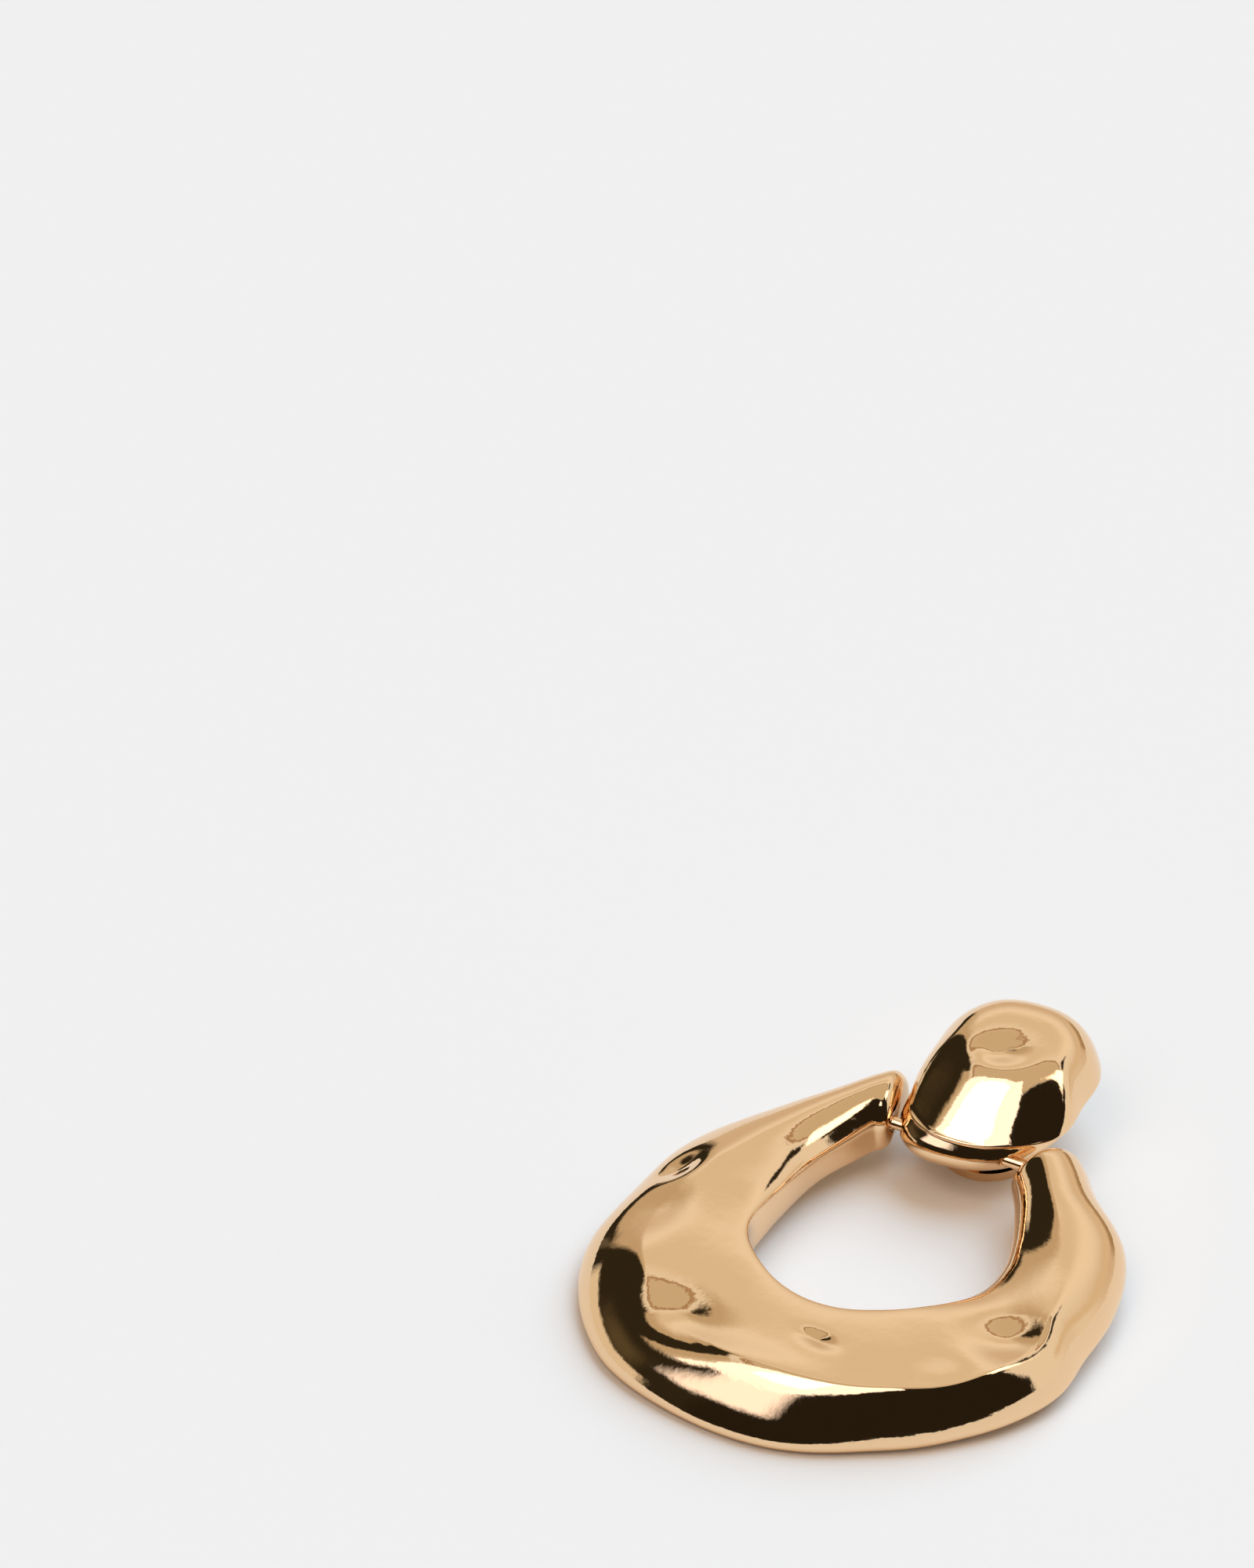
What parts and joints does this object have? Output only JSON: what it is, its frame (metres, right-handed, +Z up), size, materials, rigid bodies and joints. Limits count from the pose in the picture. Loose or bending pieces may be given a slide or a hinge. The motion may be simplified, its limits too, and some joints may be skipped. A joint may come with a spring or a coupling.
{
  "type": "doorknocker earring",
  "caption": "Gold-tone doorknocker clip-on earring: a pebble-shaped domed stud with a broad hammered ring that swings from it on a hinge pin.",
  "frame": {"origin": "middle of the lying earring's box, on the surface that it rests on", "axes": "+Z up out of the earring's face, +X to the viewer's right along the hinge pin, +Y from the ring's far edge towards the stud"},
  "size_m": [0.0402, 0.0482, 0.0104],
  "materials": {
    "gold_plate": "polished gold plate"
  },
  "bodies": {
    "stud": {"stud_dome": "gold_plate", "hinge_pin": "gold_plate", "ear_clip": "gold_plate"},
    "drop": {"drop_ring": "gold_plate"}
  },
  "joints": [
    {"name": "drop_swing", "type": "hinge", "parent": "stud", "child": "drop", "pos_m": [0.00163, 0.00958, 0.0046], "axis": [1, 0, 0], "range_deg": [-40, 75]}
  ]
}
